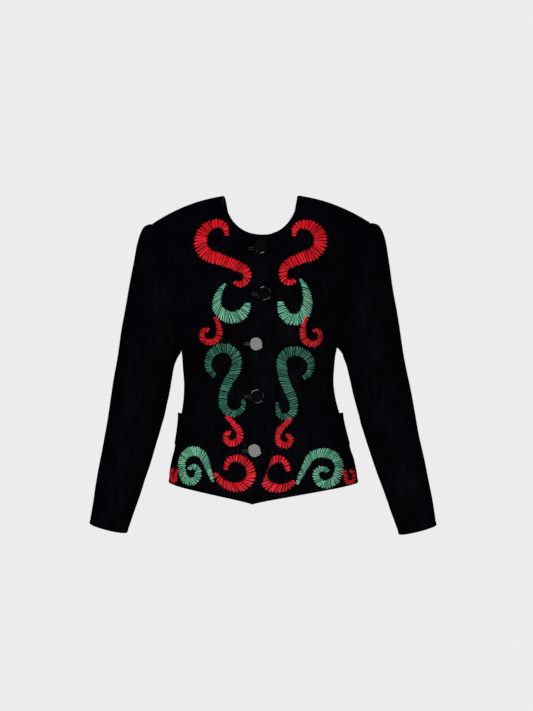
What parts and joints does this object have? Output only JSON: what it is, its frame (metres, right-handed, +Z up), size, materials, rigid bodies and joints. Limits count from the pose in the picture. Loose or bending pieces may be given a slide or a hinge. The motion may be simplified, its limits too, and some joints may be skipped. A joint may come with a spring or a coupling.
{
  "type": "embroidered velvet jacket",
  "caption": "Short fitted collarless jacket, filled out and hollow, with long sleeves, buttoned front, hip pocket welts and raised scroll embroidery.",
  "frame": {"origin": "midway between the two neck points at shoulder height, where a wearer's shoulders carry the jacket", "axes": "+Z up along the wearer's back, -Y out of the front, +X towards the wearer's left"},
  "size_m": [0.686, 0.2422, 0.671],
  "materials": {
    "velvet": "black cotton velvet, short dense pile",
    "red_thread": "thick red satin-stitch yarn with a soft sheen",
    "mint_thread": "thick light green satin-stitch yarn with a soft sheen",
    "green_thread": "thick dark green satin-stitch yarn with a soft sheen",
    "button": "polished gunmetal button"
  },
  "bodies": {
    "root": {"back": "velvet", "front_left": "velvet", "sleeve_left": "velvet", "pocket_welt_left": "velvet", "chest_scroll_left": "red_thread", "breast_crescent_left": "mint_thread", "breast_curl_left": "red_thread", "waist_scroll_left": "green_thread", "waist_curl_left": "red_thread", "hem_scroll_left": "red_thread", "hip_spiral_left": "mint_thread", "side_curl_left": "red_thread", "front_right": "velvet", "sleeve_right": "velvet", "pocket_welt_right": "velvet", "chest_scroll_right": "red_thread", "breast_crescent_right": "mint_thread", "breast_curl_right": "red_thread", "waist_scroll_right": "green_thread", "waist_curl_right": "red_thread", "hem_scroll_right": "red_thread", "hip_spiral_right": "mint_thread", "side_curl_right": "red_thread", "buttonhole_1": "velvet", "button_1": "button", "buttonhole_2": "velvet", "button_2": "button", "buttonhole_3": "velvet", "button_3": "button", "buttonhole_4": "velvet", "button_4": "button", "buttonhole_5": "velvet", "button_5": "button"}
  },
  "joints": []
}
